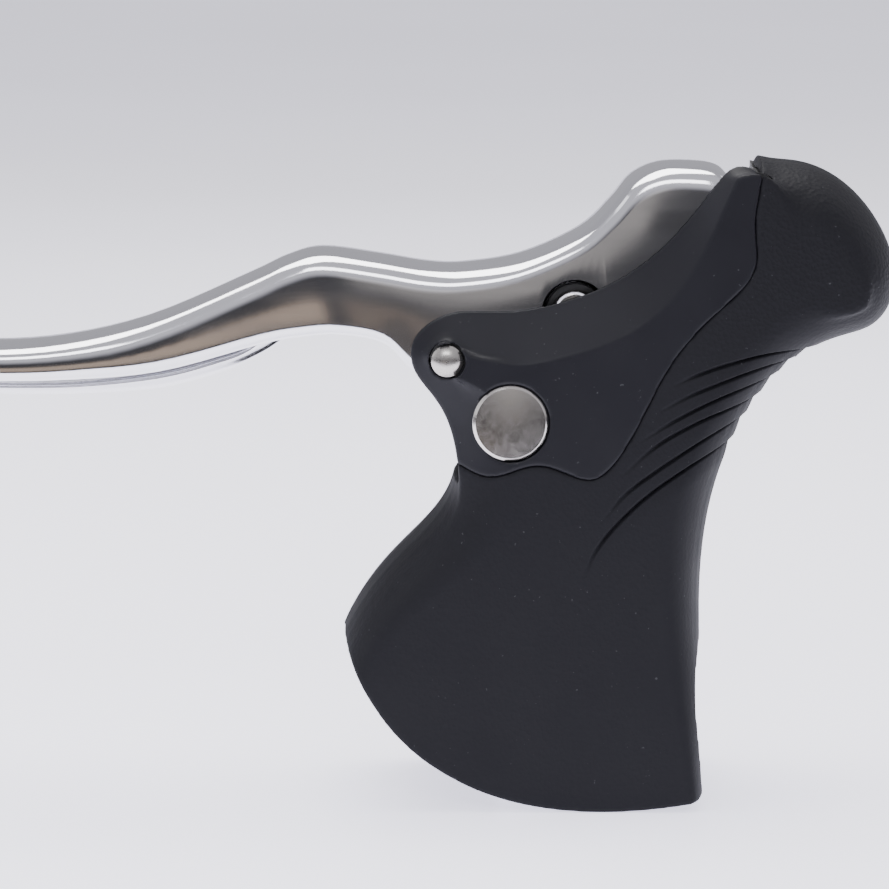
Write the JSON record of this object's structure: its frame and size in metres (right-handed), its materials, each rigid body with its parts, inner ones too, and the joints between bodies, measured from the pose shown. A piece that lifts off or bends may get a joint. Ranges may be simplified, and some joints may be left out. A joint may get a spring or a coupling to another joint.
{
  "type": "brake shift lever",
  "caption": "Drop-bar brake and shift lever with rubber hood, hard side covers, polished finger blade and a shift paddle behind it.",
  "frame": {"origin": "centre of the handlebar clamp bore", "axes": "+X along the clamp bore, away from the finger blade; +Z from the bar towards the horn; -Y is the outer side"},
  "size_m": [0.1816, 0.036, 0.1033],
  "materials": {
    "bracket_nylon": "glass-filled black nylon",
    "hood_rubber": "fine leather-like grain, matt",
    "cover_plastic": "smooth charcoal, broad bevel",
    "band_steel": "bright zinc",
    "screw_steel": "plain",
    "pin_steel": "brushed stainless",
    "spring_steel": "drawn wire",
    "plate_steel": "stamped",
    "cap_metal": "satin silver",
    "blade_aluminium": "polished",
    "bush_black": "self-lubricating",
    "barrel_steel": "turned, bright chamfer",
    "paddle_metal": "polished",
    "drum_nylon": "moulded"
  },
  "bodies": {
    "bracket": {"bracket_body": "bracket_nylon", "hood": "hood_rubber", "side_cover_outer": "cover_plastic", "side_cover_inner": "cover_plastic", "clamp_band": "band_steel", "clamp_bolt": "screw_steel", "clamp_nut": "screw_steel", "brake_pivot_pin": "pin_steel", "pivot_clip": "pin_steel", "brake_return_spring": "spring_steel", "brake_housing_stop": "screw_steel", "shift_housing_stop": "screw_steel", "reach_adjust_screw": "screw_steel", "cartridge_plates": "plate_steel", "axle_cap_outer": "cap_metal", "axle_cap_inner": "cap_metal", "cap_screw_outer": "screw_steel", "cap_screw_inner": "screw_steel", "winder_axle": "pin_steel", "hold_pawl_pin": "pin_steel"},
    "brake_lever": {"brake_lever_blade": "blade_aluminium", "pivot_bushes": "bush_black", "anchor_bushes": "bush_black", "paddle_pivot_pin": "pin_steel"},
    "cable_anchor": {"cable_anchor_barrel": "barrel_steel"},
    "shift_paddle": {"shift_paddle": "paddle_metal"},
    "feed_lever": {"feed_lever": "plate_steel", "feed_pawl": "plate_steel"},
    "winder": {"winder_drum": "drum_nylon", "ratchet_wheel": "plate_steel"},
    "hold_pawl": {"hold_pawl": "plate_steel"}
  },
  "joints": [
    {"name": "brake_lever_pull", "type": "hinge", "parent": "bracket", "child": "brake_lever", "pos_m": [-0.016, 0, 0.0584], "axis": [0, -1, 0], "range_deg": [0, 24], "stiffness_Nm_per_rad": 0.8, "springref_deg": -11.46},
    {"name": "cable_anchor_swivel", "type": "hinge", "parent": "brake_lever", "child": "cable_anchor", "pos_m": [0.0042, 0, 0.0655], "axis": [0, -1, 0], "range_deg": [-24, 0]},
    {"name": "shift_paddle_swing", "type": "hinge", "parent": "brake_lever", "child": "shift_paddle", "pos_m": [-0.038, 0, 0.066], "axis": [0, 0, -1], "range_deg": [0, 18], "stiffness_Nm_per_rad": 0.1, "springref_deg": -11.46},
    {"name": "feed_lever_swing", "type": "hinge", "parent": "bracket", "child": "feed_lever", "pos_m": [0.0092, 0, 0.0404], "axis": [0, 0, 1], "range_deg": [0, 13.5]},
    {"name": "winder_turn", "type": "hinge", "parent": "bracket", "child": "winder", "pos_m": [0.0092, 0, 0.033], "axis": [0, 0, 1], "range_deg": [0, 140]},
    {"name": "hold_pawl_lift", "type": "hinge", "parent": "bracket", "child": "hold_pawl", "pos_m": [0.0174, -0.0086, 0.0378], "axis": [0, 0, 1], "range_deg": [0, 10], "stiffness_Nm_per_rad": 0.005, "springref_deg": -5.73}
  ],
  "couplings": [
    {"joint": "cable_anchor_swivel", "follows": "brake_lever_pull", "ratio": -1},
    {"joint": "feed_lever_swing", "follows": "shift_paddle_swing", "ratio": 0.75}
  ]
}
